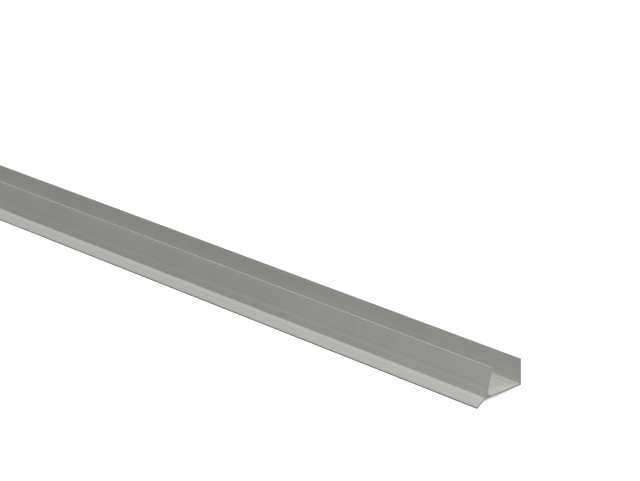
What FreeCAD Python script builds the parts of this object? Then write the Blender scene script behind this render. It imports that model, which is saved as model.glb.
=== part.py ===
import FreeCAD, Part
import math
import os

# Extruded plastic plinth profile: a channel that grips the bottom edge of a kitchen plinth board, with a
# lip that slopes down in front of the board to meet the floor. One extrusion, so one solid.
# Millimetres. X runs along the bar, +Y is the back of the channel, +Z is up.

# Driving dimensions
LENGTH = 1000.0              # one bar, as sold
BOARD_THICKNESS = 18.0       # the channel's floor is this wide
WALL_THICKNESS = 0.8         # floor and both walls
BACK_WALL_HEIGHT = 11.0      # underside of the floor to the back wall's top edge
FRONT_WALL_HEIGHT = 12.0     # underside of the floor to the front wall's top edge
FRONT_WALL_LEAN = 17.0       # degrees that the relaxed front wall leans in over the channel
LIP_LENGTH = 5.2             # along the lip's upper face, from the foot of the front wall
LIP_THICKNESS = 0.7
LIP_SLOPE = 33.0             # degrees below level

# Corner radii
EDGE_RADIUS = 0.3            # free edges of the walls and the lip
HEEL_RADIUS = 0.4            # outside corner under the back wall
BACK_ROOT_RADIUS = 0.4       # inside the channel, at the foot of the back wall
FRONT_ROOT_RADIUS = 2.2      # inside the channel, at the foot of the front wall
FOLD_RADIUS = 0.3            # where the lip's upper face meets the front wall
LIP_ROOT_RADIUS = 1.0        # under the lip, where it leaves the floor
EDGE_SHARE = 0.45            # of a wall's thickness, the most that each of its edge radii may take


def direction(degrees):
    """Unit vector in the section plane, measured from +Y towards +Z."""
    angle = math.radians(degrees)
    return FreeCAD.Vector(0, math.cos(angle), math.sin(angle))


def edge_radius(thickness):
    """Radius on the free edge of a wall, small enough for its two edges to keep clear of each other."""
    return min(EDGE_RADIUS, EDGE_SHARE * thickness)


def section_corners():
    """Corners of the section with their radii, in order round its outline.

    The outer face of the front wall meets the lip's upper face at y = 0, at the height of the channel's floor.
    """
    fold = FreeCAD.Vector(0, 0, WALL_THICKNESS)

    front_up = direction(90 - FRONT_WALL_LEAN)
    front_inward = direction(-FRONT_WALL_LEAN)
    front_run = (FRONT_WALL_HEIGHT - WALL_THICKNESS) / front_up.z
    front_tip_outer = fold + front_up * front_run
    front_tip_inner = front_tip_outer + front_inward * WALL_THICKNESS
    front_root_y = WALL_THICKNESS / front_inward.y

    lip_out = direction(180 + LIP_SLOPE)
    lip_under = direction(LIP_SLOPE - 90)
    lip_tip_upper = fold + lip_out * LIP_LENGTH
    lip_tip_lower = lip_tip_upper + lip_under * LIP_THICKNESS
    lip_root_y = lip_tip_lower.y - lip_tip_lower.z * lip_out.y / lip_out.z

    back_inner_y = front_root_y + BOARD_THICKNESS
    back_outer_y = back_inner_y + WALL_THICKNESS

    wall_edge = edge_radius(WALL_THICKNESS)
    lip_edge = edge_radius(LIP_THICKNESS)
    return [
        (FreeCAD.Vector(0, lip_root_y, 0), LIP_ROOT_RADIUS),
        (FreeCAD.Vector(0, back_outer_y, 0), HEEL_RADIUS),
        (FreeCAD.Vector(0, back_outer_y, BACK_WALL_HEIGHT), wall_edge),
        (FreeCAD.Vector(0, back_inner_y, BACK_WALL_HEIGHT), wall_edge),
        (FreeCAD.Vector(0, back_inner_y, WALL_THICKNESS), BACK_ROOT_RADIUS),
        (FreeCAD.Vector(0, front_root_y, WALL_THICKNESS), FRONT_ROOT_RADIUS),
        (front_tip_inner, wall_edge),
        (front_tip_outer, wall_edge),
        (fold, FOLD_RADIUS),
        (lip_tip_upper, lip_edge),
        (lip_tip_lower, lip_edge),
    ]


def rounded_outline(corners):
    """Closed wire through the corners, each one replaced by an arc that is tangent to both of its sides."""
    edges = []
    arcs = []
    for i, (corner, radius) in enumerate(corners):
        back = (corners[i - 1][0] - corner).normalize()
        ahead = (corners[(i + 1) % len(corners)][0] - corner).normalize()
        half_angle = back.getAngle(ahead) / 2
        setback = radius / math.tan(half_angle)
        bisector = (back + ahead).normalize()
        middle = corner + bisector * (radius / math.sin(half_angle) - radius)
        arcs.append((corner + back * setback, middle, corner + ahead * setback))
    for i, (start, middle, end) in enumerate(arcs):
        edges.append(Part.LineSegment(arcs[i - 1][2], start).toShape())
        edges.append(Part.Arc(start, middle, end).toShape())
    return Part.Wire(edges)


def plinth_profile():
    """The section run along X, with the middle of its base at the origin."""
    section = Part.Face(rounded_outline(section_corners()))
    bar = section.extrude(FreeCAD.Vector(LENGTH, 0, 0))
    box = bar.optimalBoundingBox(False, False)
    bar.translate(FreeCAD.Vector(-box.Center.x, -box.Center.y, -box.ZMin))
    return bar


os.makedirs("parts", exist_ok=True)
plinth_profile().exportStep("parts/plinth_profile.step")
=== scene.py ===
import math

import bpy
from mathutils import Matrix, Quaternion, Vector


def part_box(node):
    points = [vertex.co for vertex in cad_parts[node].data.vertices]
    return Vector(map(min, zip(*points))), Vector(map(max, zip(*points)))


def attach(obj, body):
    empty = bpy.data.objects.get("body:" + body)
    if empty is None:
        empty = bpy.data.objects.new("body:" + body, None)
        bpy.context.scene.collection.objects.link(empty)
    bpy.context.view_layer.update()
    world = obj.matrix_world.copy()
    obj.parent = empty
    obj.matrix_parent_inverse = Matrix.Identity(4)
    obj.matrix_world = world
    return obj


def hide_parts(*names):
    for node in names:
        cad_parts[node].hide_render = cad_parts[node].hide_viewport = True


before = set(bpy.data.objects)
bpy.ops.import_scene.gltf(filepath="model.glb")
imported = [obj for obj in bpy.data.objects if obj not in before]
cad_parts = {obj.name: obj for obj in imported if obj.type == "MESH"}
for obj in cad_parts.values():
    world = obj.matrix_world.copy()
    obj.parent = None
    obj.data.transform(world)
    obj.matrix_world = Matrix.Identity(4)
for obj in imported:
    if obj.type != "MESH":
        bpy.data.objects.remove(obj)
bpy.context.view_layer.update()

# An extruded plastic plinth profile: one bar, swept from its section.
# Metres. X runs along the bar, +Y is the back of the channel, +Z is up. The near end is the one at +X.

BAR_LOW, BAR_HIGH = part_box("plinth_profile")

# The section, as it is made
BOARD = 0.018                # width of the channel's floor
WALL = 0.0008                # floor and both walls
BACK_HEIGHT = 0.011          # underside of the floor to the back wall's top edge
FRONT_HEIGHT = 0.012         # underside of the floor to the front wall's top edge
FRONT_LEAN = 17.0            # degrees that the front wall leans in over the channel
LIP_LENGTH = 0.0052          # along the lip's upper face
LIP = 0.0007                 # thickness of the lip
LIP_SLOPE = 33.0             # degrees below level
FREE_EDGE = 0.0003           # radius on the free edges of the walls and the lip
HEEL = 0.0004                # radius outside, under the back wall
BACK_ROOT = 0.0004           # radius in the channel, at the foot of the back wall
FRONT_ROOT = 0.0022          # radius in the channel, at the foot of the front wall
FOLD = 0.0003                # radius where the lip's upper face meets the front wall
LIP_ROOT = 0.001             # radius under the lip, where it leaves the floor

# How the outline is drawn
ARC_STEP = math.radians(14)  # an arc has a point at least this often
HOLD = 0.00012               # a point this far past an arc keeps the flat beside it flat

# How an edge differs in tone from the flats: above 0 it is rubbed pale, below 0 it is darkened with painted
# shade
RUBBED = 0.4
# painted shade: darkens the free tops of the back wall and the lip's edge
EDGE_PAINTED_SHADE = -1
# painted shade: darkens the front wall's top edge, damping the highlight it catches
RIDGE_PAINTED_SHADE = -0.65
# painted shade spread up the lip, so the lip darkens towards its edge
LIP_PAINTED_SHADE_SHARE = 0.3               # share of the lip edge's tone that spreads up the lip

# How the bar is swept
RING_SPACING = 0.005
SAW_CHAMFER = 0.00007        # what deburring takes off the edges of the cut ends
SAW_HOLD = 0.0004            # a ring this far in keeps the skin flat up to the chamfer
WANDER_LENGTH = 0.07         # the free walls sway over about this length
WALL_WANDER = 0.00012        # the most that a free edge sways
WALL_BEND = 1.5              # a wall's sway grows with this power of the way up it
WALL_STRIDE = 7              # how far apart in the noise the walls are, so that each sways on its own
SEED = 4.0
# the chamfer takes the cut's darker grey, painted shade that hides the light line it would catch
CUT_FACING = 0.5             # a face that looks further along the bar than this is cut or chamfer

FLOOR, BACK, FRONT, UNDER_LIP = range(4)


# ---------------------------------------------------------------- the section

def heading(degrees):
    """Unit vector in the section plane, measured from +Y towards +Z."""
    angle = math.radians(degrees)
    return Vector((0, math.cos(angle), math.sin(angle)))


def section_corners():
    """Corners of the section in order round its outline, each with its radius, its wall and its tone.

    It is drawn with the outer face of the front wall at y = 0, where it meets the lip, and the floor's
    underside at z = 0.
    """
    fold = Vector((0, 0, WALL))
    front_up = heading(90 - FRONT_LEAN)
    front_inward = heading(-FRONT_LEAN)
    front_outer = fold + front_up * (FRONT_HEIGHT - WALL) / front_up.z
    front_root = WALL / front_inward.y
    lip_out = heading(180 + LIP_SLOPE)
    lip_upper = fold + lip_out * LIP_LENGTH
    lip_lower = lip_upper + heading(LIP_SLOPE - 90) * LIP
    lip_root = lip_lower.y - lip_lower.z * lip_out.y / lip_out.z
    back_inner = front_root + BOARD
    back_outer = back_inner + WALL
    return [
        (Vector((0, lip_root, 0)), LIP_ROOT, FLOOR, 0),
        (Vector((0, back_outer, 0)), HEEL, FLOOR, RUBBED),
        # the back wall's top corners and the lip's edge corners carry painted shade, the front wall's top
        # corners a lighter painted shade
        (Vector((0, back_outer, BACK_HEIGHT)), FREE_EDGE, BACK, EDGE_PAINTED_SHADE),
        (Vector((0, back_inner, BACK_HEIGHT)), FREE_EDGE, BACK, EDGE_PAINTED_SHADE),
        (Vector((0, back_inner, WALL)), BACK_ROOT, BACK, 0),
        (Vector((0, front_root, WALL)), FRONT_ROOT, FRONT, 0),
        (front_outer + front_inward * WALL, FREE_EDGE, FRONT, RIDGE_PAINTED_SHADE),
        (front_outer, FREE_EDGE, FRONT, RIDGE_PAINTED_SHADE),
        (fold, FOLD, FRONT, 0),
        (lip_upper, FREE_EDGE, UNDER_LIP, EDGE_PAINTED_SHADE),
        (lip_lower, FREE_EDGE, UNDER_LIP, EDGE_PAINTED_SHADE),
    ]


def outline(corners):
    """Points round the section, each with the way into the plastic, its wall and its tone.

    Each corner is an arc that is tangent to both of its sides, with a holding point on the flat at
    either end, no more than a third of the way along it.
    """
    count = len(corners)
    sides = [corners[(i + 1) % count][0] - corners[i][0] for i in range(count)]
    turns = [sides[i - 1].angle(sides[i]) for i in range(count)]
    setbacks = [corners[i][1] * math.tan(turns[i] / 2) for i in range(count)]
    flats = [sides[i].length - setbacks[i] - setbacks[(i + 1) % count] for i in range(count)]

    points = []
    for i, (corner, radius, wall, tone) in enumerate(corners):
        before, after = sides[i - 1].normalized(), sides[i].normalized()
        hold_before, hold_after = min(HOLD, flats[i - 1] / 3), min(HOLD, flats[i] / 3)
        # the lip's flats take part of its edge's painted shade, so the lip darkens towards its edge
        flat_painted_shade = tone * LIP_PAINTED_SHADE_SHARE if wall == UNDER_LIP else 0
        convex = 1 if before.cross(after).x > 0 else -1
        outward = (before - after).normalized()
        centre = corner - outward * radius / math.cos(turns[i] / 2)
        along = (before + after).normalized()
        points.append((corner - before * (setbacks[i] + hold_before), left_of(before), wall, flat_painted_shade))
        steps = max(2, math.ceil(turns[i] / ARC_STEP))
        for k in range(steps + 1):
            angle = turns[i] * (k / steps - 0.5)
            arm = outward * math.cos(angle) + along * math.sin(angle)
            points.append((centre + arm * radius, -arm * convex, wall, tone))
        points.append((corner + after * (setbacks[i] + hold_after), left_of(after), wall, flat_painted_shade))
    return points


def left_of(run):
    """The outline runs anticlockwise seen from +X, so the plastic is on the left of each of its sides."""
    return Vector((0, -run.z, run.y))


def give(point, wall):
    """Which way and how far a point of the section moves when its wall's free edge sways by about 1."""
    if wall == BACK:
        return Vector((0, -1, 0)) * max(0, (point.z - WALL) / BACK_HEIGHT) ** WALL_BEND
    if wall == FRONT:
        return Vector((0, 1, 0)) * max(0, (point.z - WALL) / FRONT_HEIGHT) ** WALL_BEND
    if wall == UNDER_LIP:
        return Vector((0, 0, 1)) * max(0, -point.y / LIP_LENGTH) ** WALL_BEND
    return Vector()


# ---------------------------------------------------------------- node trees

class Sheet:
    """A node tree being written. Every node comes from node()."""

    def __init__(self, tree):
        self.tree = tree

    def node(self, kind, settings=None, sockets=None):
        """Adds a node, sets its settings, then its sockets, named or numbered, to values or links."""
        made = self.tree.nodes.new(kind)
        for key, value in (settings or {}).items():
            setattr(made, key, value)
        self.feed(made, sockets or {})
        return made

    def feed(self, node, sockets):
        """Sets sockets to values, or links them."""
        for key, value in sockets.items():
            if isinstance(value, Number):
                value = value.socket
            if isinstance(value, bpy.types.NodeSocket):
                self.tree.links.new(value, node.inputs[key])
            else:
                node.inputs[key].default_value = value

    def number(self, socket):
        return Number(self, socket)

    def scaled(self, vector, factor):
        """A vector or colour times a number."""
        made = self.node("ShaderNodeVectorMath", {"operation": "SCALE"}, {0: vector, "Scale": factor})
        return made.outputs[0]

    def axes(self, vector):
        """The three numbers of a vector."""
        apart = self.node("ShaderNodeSeparateXYZ", None, {0: vector})
        return [self.number(socket) for socket in apart.outputs]


class Number:
    """A socket that carries a number. Arithmetic on it adds Math nodes."""

    def __init__(self, sheet, socket):
        self.sheet = sheet
        self.socket = socket

    def math(self, operation, first, second=0):
        made = self.sheet.node("ShaderNodeMath", {"operation": operation}, {0: first, 1: second})
        return Number(self.sheet, made.outputs[0])

    def __add__(self, other):
        return self.math("ADD", self, other)

    def __radd__(self, other):
        return self.math("ADD", other, self)

    def __sub__(self, other):
        return self.math("SUBTRACT", self, other)

    def __rsub__(self, other):
        return self.math("SUBTRACT", other, self)

    def __mul__(self, other):
        return self.math("MULTIPLY", self, other)

    def __rmul__(self, other):
        return self.math("MULTIPLY", other, self)

    def __truediv__(self, other):
        return self.math("DIVIDE", self, other)

    def __lt__(self, other):
        return self.math("LESS_THAN", self, other)

    def __gt__(self, other):
        return self.math("GREATER_THAN", self, other)

    def __abs__(self):
        return self.math("ABSOLUTE", self)

    def lesser(self, other):
        return self.math("MINIMUM", self, other)


def input_key(tree, name):
    """Identifier of a tree's input, by which a modifier's value is set."""
    for item in tree.interface.items_tree:
        if item.item_type == "SOCKET" and item.in_out == "INPUT" and item.name == name:
            return item.identifier
    raise KeyError(name)


# ---------------------------------------------------------------- finishes

# A pattern's scale is in waves a metre, or near it. A noise's middle is 0.5.
MIDDLE = 0.5
RELIEF_STRENGTH = 0.6
RELIEF_DEPTH = 0.0001

SKIN_GREY = (0.452, 0.45, 0.428)
SKIN_ROUGHNESS = 0.46
SKIN_IOR = 1.53
DIE_LINES = (0.9, 550, 550)  # long along the bar, fine across it
MOTTLE = 45
PEEL = 900
LINE_TONE = 0.42             # how far the die lines change the grey, and then the roughness
LINE_SHEEN = 0.5
MOTTLE_TONE = 0.16
MOTTLE_SHEEN = 0.15
LINE_RELIEF, PEEL_RELIEF = 0.7, 0.3
# the edge tone is painted shade on the free edges of the walls and the lip, and wear on the heel
EDGE_WEAR_AND_SHADE = 0.12             # how far a free edge's tone shows, and how much further where it is mottled
EDGE_WEAR_AND_SHADE_MOTTLE = 0.36

# painted shade: the cut ends and chamfers are given a darker grey than the skin
CUT_PAINTED_SHADE_GREY = (0.23, 0.228, 0.218)
CUT_ROUGHNESS = 0.62
SAW_SLANT = math.radians(28)
SAW_MARKS = 550
SAW_TONE = 0.14
SAW_SHEEN = 0.15


def empty_material(name):
    """A new material, its sheet and its shader."""
    material = bpy.data.materials.new(name)
    material.use_nodes = True
    material.node_tree.nodes.clear()
    sheet = Sheet(material.node_tree)
    shader = sheet.node("ShaderNodeBsdfPrincipled")
    sheet.node("ShaderNodeOutputMaterial", None, {"Surface": shader.outputs["BSDF"]})
    return material, sheet, shader


def noise(sheet, place, scale, detail, roughness):
    made = sheet.node("ShaderNodeTexNoise", None, {
        "Vector": place, "Scale": scale, "Detail": detail, "Roughness": roughness})
    return sheet.number(made.outputs[0])


def relief(sheet, height):
    """Bump of a fine pattern."""
    made = sheet.node("ShaderNodeBump", None, {
        "Height": height, "Strength": RELIEF_STRENGTH, "Distance": RELIEF_DEPTH})
    return made.outputs[0]


def by_ray(sheet, seen, to_light, to_eye):
    """One colour for the light that bounces, and another for the eye."""
    made = sheet.node("ShaderNodeMix", {"data_type": "RGBA"}, {0: seen, 6: (*to_light, 1), 7: (*to_eye, 1)})
    return made.outputs[2]


def extruded_skin():
    """Satin grey plastic: die lines along the bar, a soft mottle, a fine peel, painted shade on the free
    edges and a rubbed pale heel.
    """
    material, sheet, shader = empty_material("extruded_skin")
    place = sheet.node("ShaderNodeTexCoord").outputs["Object"]
    drawn = sheet.node("ShaderNodeMapping", None, {"Vector": place, "Scale": DIE_LINES}).outputs[0]
    lines = noise(sheet, drawn, scale=1, detail=4, roughness=0.7)
    mottle = noise(sheet, place, scale=MOTTLE, detail=4, roughness=0.55)
    peel = noise(sheet, place, scale=PEEL, detail=2, roughness=0.5)
    # the tone attribute: painted shade on the free edges, pale wear at the heel
    edge = sheet.number(sheet.node("ShaderNodeAttribute", {"attribute_name": "tone"}).outputs["Fac"])

    off_lines, off_mottle = lines - MIDDLE, mottle - MIDDLE
    tone = 1 + off_lines * LINE_TONE + off_mottle * MOTTLE_TONE + edge * (EDGE_WEAR_AND_SHADE + mottle * EDGE_WEAR_AND_SHADE_MOTTLE)
    sheet.feed(shader, {
        "Base Color": sheet.scaled(SKIN_GREY, tone),
        "Roughness": SKIN_ROUGHNESS + off_lines * LINE_SHEEN + off_mottle * MOTTLE_SHEEN,
        "IOR": SKIN_IOR,
        "Normal": relief(sheet, lines * LINE_RELIEF + peel * PEEL_RELIEF)})
    return material


def sawn_end():
    """The cut ends with their deburred edges: matt, with slanting saw marks, and a grey darkened as painted
    shade.
    """
    material, sheet, shader = empty_material("sawn_end")
    place = sheet.node("ShaderNodeTexCoord").outputs["Object"]
    turned = sheet.node("ShaderNodeMapping", None, {
        "Vector": place, "Rotation": (SAW_SLANT, 0, 0)}).outputs[0]
    wave = sheet.node("ShaderNodeTexWave", {"bands_direction": "Y"}, {
        "Vector": turned, "Scale": SAW_MARKS, "Distortion": 3, "Detail": 2, "Detail Scale": 2})
    marks = sheet.number(wave.outputs["Fac"])

    off_marks = marks - MIDDLE
    # the cut's grey is painted shade
    sheet.feed(shader, {
        "Base Color": sheet.scaled(CUT_PAINTED_SHADE_GREY, 1 + off_marks * SAW_TONE),
        "Roughness": CUT_ROUGHNESS + off_marks * SAW_SHEEN,
        "Normal": relief(sheet, marks)})
    return material


def pale_floor():
    """White studio floor. It glows a little to the eye, and throws little light back up at the bar."""
    material, sheet, shader = empty_material("pale_floor")
    seen = sheet.node("ShaderNodeLightPath").outputs["Is Camera Ray"]
    sheet.feed(shader, {
        "Base Color": by_ray(sheet, seen, (0.1, 0.1, 0.1), (0.9, 0.9, 0.9)),
        "Emission Color": by_ray(sheet, seen, (0, 0, 0), (0.45, 0.45, 0.45)),
        "Emission Strength": 1, "Roughness": 0.9, "Specular IOR Level": 0})
    return material


# ---------------------------------------------------------------- the bar

def sweep_tree():
    """Geometry Nodes: sweeps a section along X, lets its free walls sway, and finishes the cut ends."""
    tree = bpy.data.node_groups.new("swept_bar", "GeometryNodeTree")
    for name, kind in (
        ("Section", "Geometry"), ("Length", "Float"), ("Rings", "Int"), ("Saw Chamfer", "Float"),
        ("Saw Hold", "Float"), ("Wander Length", "Float"), ("Wander", "Float"), ("Seed", "Float"),
        ("Skin", "Material"), ("Cut", "Material"),
    ):
        tree.interface.new_socket(name, in_out="INPUT", socket_type="NodeSocket" + kind)
    tree.interface.new_socket("Bar", in_out="OUTPUT", socket_type="NodeSocketGeometry")
    sheet = Sheet(tree)
    given = sheet.node("NodeGroupInput").outputs
    half_length = sheet.number(given["Length"]) / 2
    chamfer = sheet.number(given["Saw Chamfer"])
    last = sheet.number(given["Rings"]) - 1

    # rings at even steps, but the second and third from each end sit close to the saw cut
    path = sheet.node("GeometryNodeCurvePrimitiveLine", None, {
        "Start": (0, 0, 0), "End": (1, 0, 0)}).outputs[0]
    path = sheet.node("GeometryNodeResampleCurve", None, {
        "Curve": path, "Count": given["Rings"]}).outputs[0]
    index = sheet.number(sheet.node("GeometryNodeInputIndex").outputs[0])
    from_end = index.lesser(last - index)
    reach = from_end * half_length * 2 / last
    for place, distance in ((1, chamfer), (2, sheet.number(given["Saw Hold"]))):
        here = (from_end > place - 0.5) * (from_end < place + 0.5)
        reach = reach + here * (distance - reach)
    end_side = (index > last / 2) * 2 - 1
    station = sheet.node("ShaderNodeCombineXYZ", None, {"X": end_side * (half_length - reach)}).outputs[0]
    path = sheet.node("GeometryNodeSetPosition", None, {
        "Geometry": path, "Position": station}).outputs[0]
    ring = sheet.node("GeometryNodeMeshToCurve", None, {"Mesh": given["Section"]}).outputs[0]
    bar = sheet.node("GeometryNodeCurveToMesh", None, {
        "Curve": path, "Profile Curve": ring, "Fill Caps": True}).outputs[0]

    # the free walls sway along the bar
    x = sheet.axes(sheet.node("GeometryNodeInputPosition").outputs[0])[0]
    named = "GeometryNodeInputNamedAttribute"
    wall = sheet.number(sheet.node(named, {"data_type": "FLOAT"}, {"Name": "wall"}).outputs[0])
    lean = sheet.node(named, {"data_type": "FLOAT_VECTOR"}, {"Name": "give"}).outputs[0]
    inward = sheet.node(named, {"data_type": "FLOAT_VECTOR"}, {"Name": "inward"}).outputs[0]
    spot = sheet.node("ShaderNodeCombineXYZ", None, {
        "X": x / sheet.number(given["Wander Length"]), "Y": wall * WALL_STRIDE}).outputs[0]
    sway = sheet.number(sheet.node("ShaderNodeTexNoise", {"noise_dimensions": "4D"}, {
        "Vector": spot, "W": given["Seed"], "Scale": 1, "Detail": 2, "Roughness": 0.45}).outputs[0])
    swayed = sheet.scaled(lean, sway * sheet.number(given["Wander"]))

    # the rings at the cut are drawn in by the chamfer
    at_cut = abs(x) > half_length - chamfer / 2
    chamfered = sheet.scaled(inward, at_cut * chamfer)
    offset = sheet.node("ShaderNodeVectorMath", {"operation": "ADD"}, {0: swayed, 1: chamfered}).outputs[0]
    bar = sheet.node("GeometryNodeSetPosition", None, {"Geometry": bar, "Offset": offset}).outputs[0]

    # the cut and its chamfer have flat faces and their own finish, whose darker grey is painted shade
    facing = sheet.axes(sheet.node("GeometryNodeInputNormal").outputs[0])[0]
    is_cut = abs(facing) > CUT_FACING
    bar = sheet.node("GeometryNodeSetShadeSmooth", None, {
        "Geometry": bar, "Shade Smooth": 1 - is_cut}).outputs[0]
    bar = sheet.node("GeometryNodeRealizeInstances", None, {"Geometry": bar}).outputs[0]
    bar = sheet.node("GeometryNodeSetMaterial", None, {
        "Geometry": bar, "Material": given["Skin"]}).outputs[0]
    bar = sheet.node("GeometryNodeSetMaterial", None, {
        "Geometry": bar, "Selection": is_cut, "Material": given["Cut"]}).outputs[0]
    sheet.node("NodeGroupOutput", None, {"Bar": bar})
    return tree


def section_place(points):
    """How far the section moves, from where it is drawn to its place in the frame."""
    back = max(p[0].y for p in points)
    bottom = min(p[0].z for p in points)
    return Vector((0, BAR_HIGH.y - back, BAR_LOW.z - bottom))


def section_mesh(points):
    """The outline in place, with what the sweep and the finishes need to know about each of its points."""
    shift = section_place(points)
    mesh = bpy.data.meshes.new("section")
    # a section that is swept towards +X has its own X and Y along -Y and -Z
    flat = [(-(p[0] + shift).y, -(p[0] + shift).z, 0) for p in points]
    mesh.from_pydata(flat, [(i, (i + 1) % len(flat)) for i in range(len(flat))], [])
    for name, values in (("wall", [float(p[2]) for p in points]), ("tone", [float(p[3]) for p in points])):
        mesh.attributes.new(name, "FLOAT", "POINT").data.foreach_set("value", values)
    for name, vectors in (("inward", [p[1] for p in points]), ("give", [give(p[0], p[2]) for p in points])):
        numbers = [number for vector in vectors for number in vector]
        mesh.attributes.new(name, "FLOAT_VECTOR", "POINT").data.foreach_set("vector", numbers)
    return mesh


def plinth_bar(points):
    """The whole profile as one mesh in its place in the frame."""
    section = bpy.data.objects.new("section", section_mesh(points))
    bpy.context.collection.objects.link(section)
    length = BAR_HIGH.x - BAR_LOW.x
    sweep = section.modifiers.new("sweep", "NODES")
    sweep.node_group = sweep_tree()
    for name, value in (
        ("Length", length), ("Rings", round(length / RING_SPACING) + 1), ("Saw Chamfer", SAW_CHAMFER),
        ("Saw Hold", SAW_HOLD), ("Wander Length", WANDER_LENGTH), ("Wander", WALL_WANDER), ("Seed", SEED),
        ("Skin", extruded_skin()), ("Cut", sawn_end()),
    ):
        sweep[input_key(sweep.node_group, name)] = value

    swept = section.evaluated_get(bpy.context.evaluated_depsgraph_get())
    bar = bpy.data.objects.new("plinth_bar", bpy.data.meshes.new_from_object(swept))
    bpy.data.objects.remove(section)
    bpy.context.collection.objects.link(bar)
    return bar


# ---------------------------------------------------------------- studio

WHITE = (1, 1, 1)
SKY_SOFTNESS = math.radians(35)
FAR_SOFTBOXES = 3            # small softboxes that hang over the rest of the bar
FIRST_SOFTBOX = 0.5          # from the near end to the first of them
SOFTBOX_SPACING = 0.25
SENSOR, LENS = 36, 149.9     # millimetres
NEAREST, FURTHEST = 0.05, 100
FOOT_HEIGHT = 0.0025042      # of the floor's underside, which the lip's edge holds up
EYE_OFFSET = Vector((0.6326, -0.6543, 0.3945))  # from the foot of the front wall at the near end
EYE_AZIMUTH, EYE_ELEVATION, EYE_ROLL = 47.81, 19.99, -1.13


def view_from(azimuth, elevation):
    """Unit vector towards a viewer: azimuth 0 is the front, 90 the near end."""
    around, up = math.radians(azimuth), math.radians(elevation)
    return Vector((math.sin(around) * math.cos(up), -math.cos(around) * math.cos(up), math.sin(up)))


def studio_floor(reach=30):
    corners = [(-reach, -reach, 0), (reach, -reach, 0), (reach, reach, 0), (-reach, reach, 0)]
    mesh = bpy.data.meshes.new("floor")
    mesh.from_pydata(corners, [], [(0, 1, 2, 3)])
    mesh.materials.append(pale_floor())
    floor = bpy.data.objects.new("floor", mesh)
    bpy.context.collection.objects.link(floor)
    return floor


def dome(strength, colour):
    """Even light from all round, behind a background that is plain white."""
    world = bpy.data.worlds.new("studio")
    bpy.context.scene.world = world
    world.use_nodes = True
    world.node_tree.nodes.clear()
    sheet = Sheet(world.node_tree)
    seen = sheet.number(sheet.node("ShaderNodeLightPath").outputs["Is Camera Ray"])
    light = sheet.node("ShaderNodeBackground", None, {
        "Color": by_ray(sheet, seen, colour, WHITE), "Strength": strength + seen * (1 - strength)})
    sheet.node("ShaderNodeOutputWorld", None, {"Surface": light.outputs[0]})


def hang_light(light, where, target):
    lamp = bpy.data.objects.new(light.name, light)
    lamp.location = where
    lamp.rotation_euler = (target - where).to_track_quat("-Z", "Y").to_euler()
    lamp.visible_camera = False
    bpy.context.collection.objects.link(lamp)


def sky_light(name, strength, azimuth, elevation, colour=WHITE):
    """A broad, distant light."""
    light = bpy.data.lights.new(name, "SUN")
    light.energy = strength
    light.angle = SKY_SOFTNESS
    light.color = colour
    hang_light(light, view_from(azimuth, elevation), Vector())


def softbox(name, power, side, offset, target, colour=WHITE):
    """A square light that hangs at an offset from what it lights."""
    light = bpy.data.lights.new(name, "AREA")
    light.energy = power
    light.size = side
    light.color = colour
    hang_light(light, target + offset, target)


def camera(near_foot):
    """A long lens, a little above the bar and off its near end."""
    data = bpy.data.cameras.new("camera")
    data.sensor_width = SENSOR
    data.lens = LENS
    data.clip_start, data.clip_end = NEAREST, FURTHEST
    eye = bpy.data.objects.new("camera", data)
    eye.location = near_foot + EYE_OFFSET
    aim = (-view_from(EYE_AZIMUTH, EYE_ELEVATION)).to_track_quat("-Z", "Y")
    eye.rotation_euler = (aim @ Quaternion((0, 0, 1), math.radians(EYE_ROLL))).to_euler()
    bpy.context.collection.objects.link(eye)
    bpy.context.scene.camera = eye


section_points = outline(section_corners())
bar = plinth_bar(section_points)
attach(bar, "root")
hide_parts("plinth_profile")
studio_floor()

near_end = Vector((BAR_HIGH.x, 0, 0))
camera(Vector((BAR_HIGH.x, section_place(section_points).y, FOOT_HEIGHT)))

bpy.context.scene.view_settings.view_transform = "Standard"
dome(strength=0.25, colour=(0.9, 1, 0.98))
sky_light("left_sky", strength=0.43, azimuth=-100, elevation=40, colour=(1, 0.97, 0.93))
sky_light("front_sky", strength=0.15, azimuth=0, elevation=45)
sky_light("back_sky", strength=1.4, azimuth=170, elevation=25)
sky_light("near_sky", strength=0.5, azimuth=90, elevation=12)
sky_light("corner_sky", strength=0.4, azimuth=130, elevation=45)
softbox("key_softbox", power=7.9, side=0.4, offset=Vector((0.7, -0.2, 0.5)), target=near_end,
        colour=(1, 0.98, 0.96))
for k in range(FAR_SOFTBOXES):
    stretch = near_end - Vector((FIRST_SOFTBOX + SOFTBOX_SPACING * k, 0, 0))
    softbox(f"far_softbox_{k + 1}", power=0.5, side=0.3, offset=Vector((0, -0.15, 0.5)), target=stretch)
